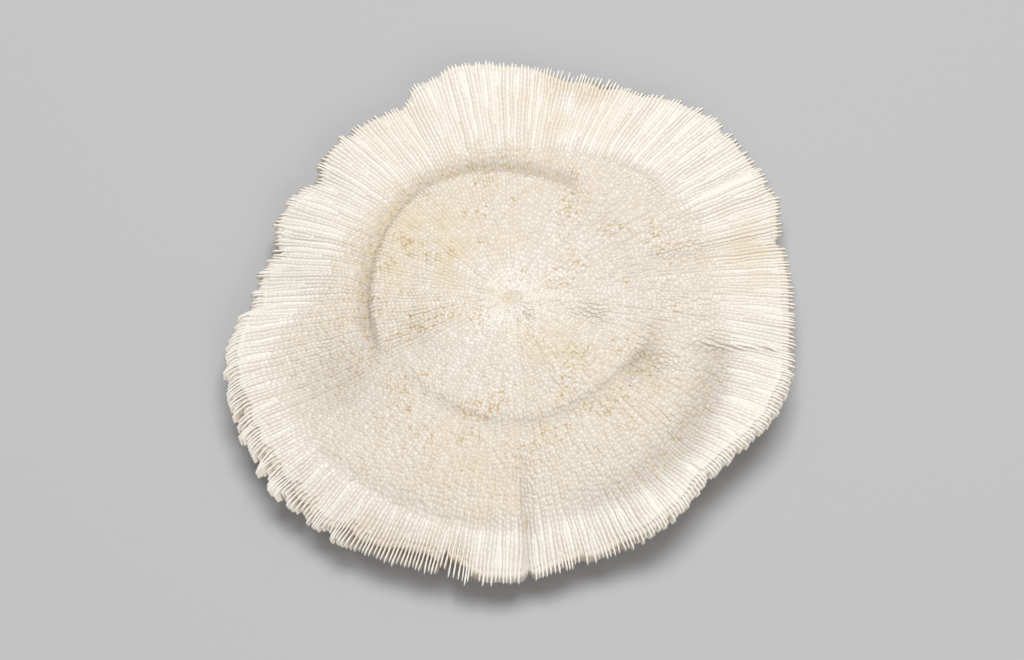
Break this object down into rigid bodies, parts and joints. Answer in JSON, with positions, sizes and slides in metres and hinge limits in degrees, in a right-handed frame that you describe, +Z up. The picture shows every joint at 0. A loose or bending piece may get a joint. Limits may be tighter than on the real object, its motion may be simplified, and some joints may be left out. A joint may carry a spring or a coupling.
{
  "type": "mushroom coral skeleton",
  "caption": "Wavy disc-shaped skeleton of a large solitary mushroom coral, with radial septa and a toothed rim, resting on its flat scar.",
  "frame": {"origin": "centre of the flat scar under the coral, straight below its mouth, on the surface that it rests on", "axes": "+Z up through the mouth; +X to the right and -Y towards the viewer as in the picture"},
  "size_m": [0.2254, 0.2348, 0.0282],
  "materials": {
    "coral_white": "matte, dry white coral stone with cream and ochre in the slots between the septa"
  },
  "bodies": {
    "root": {"coral_skeleton": "coral_white"}
  },
  "joints": []
}
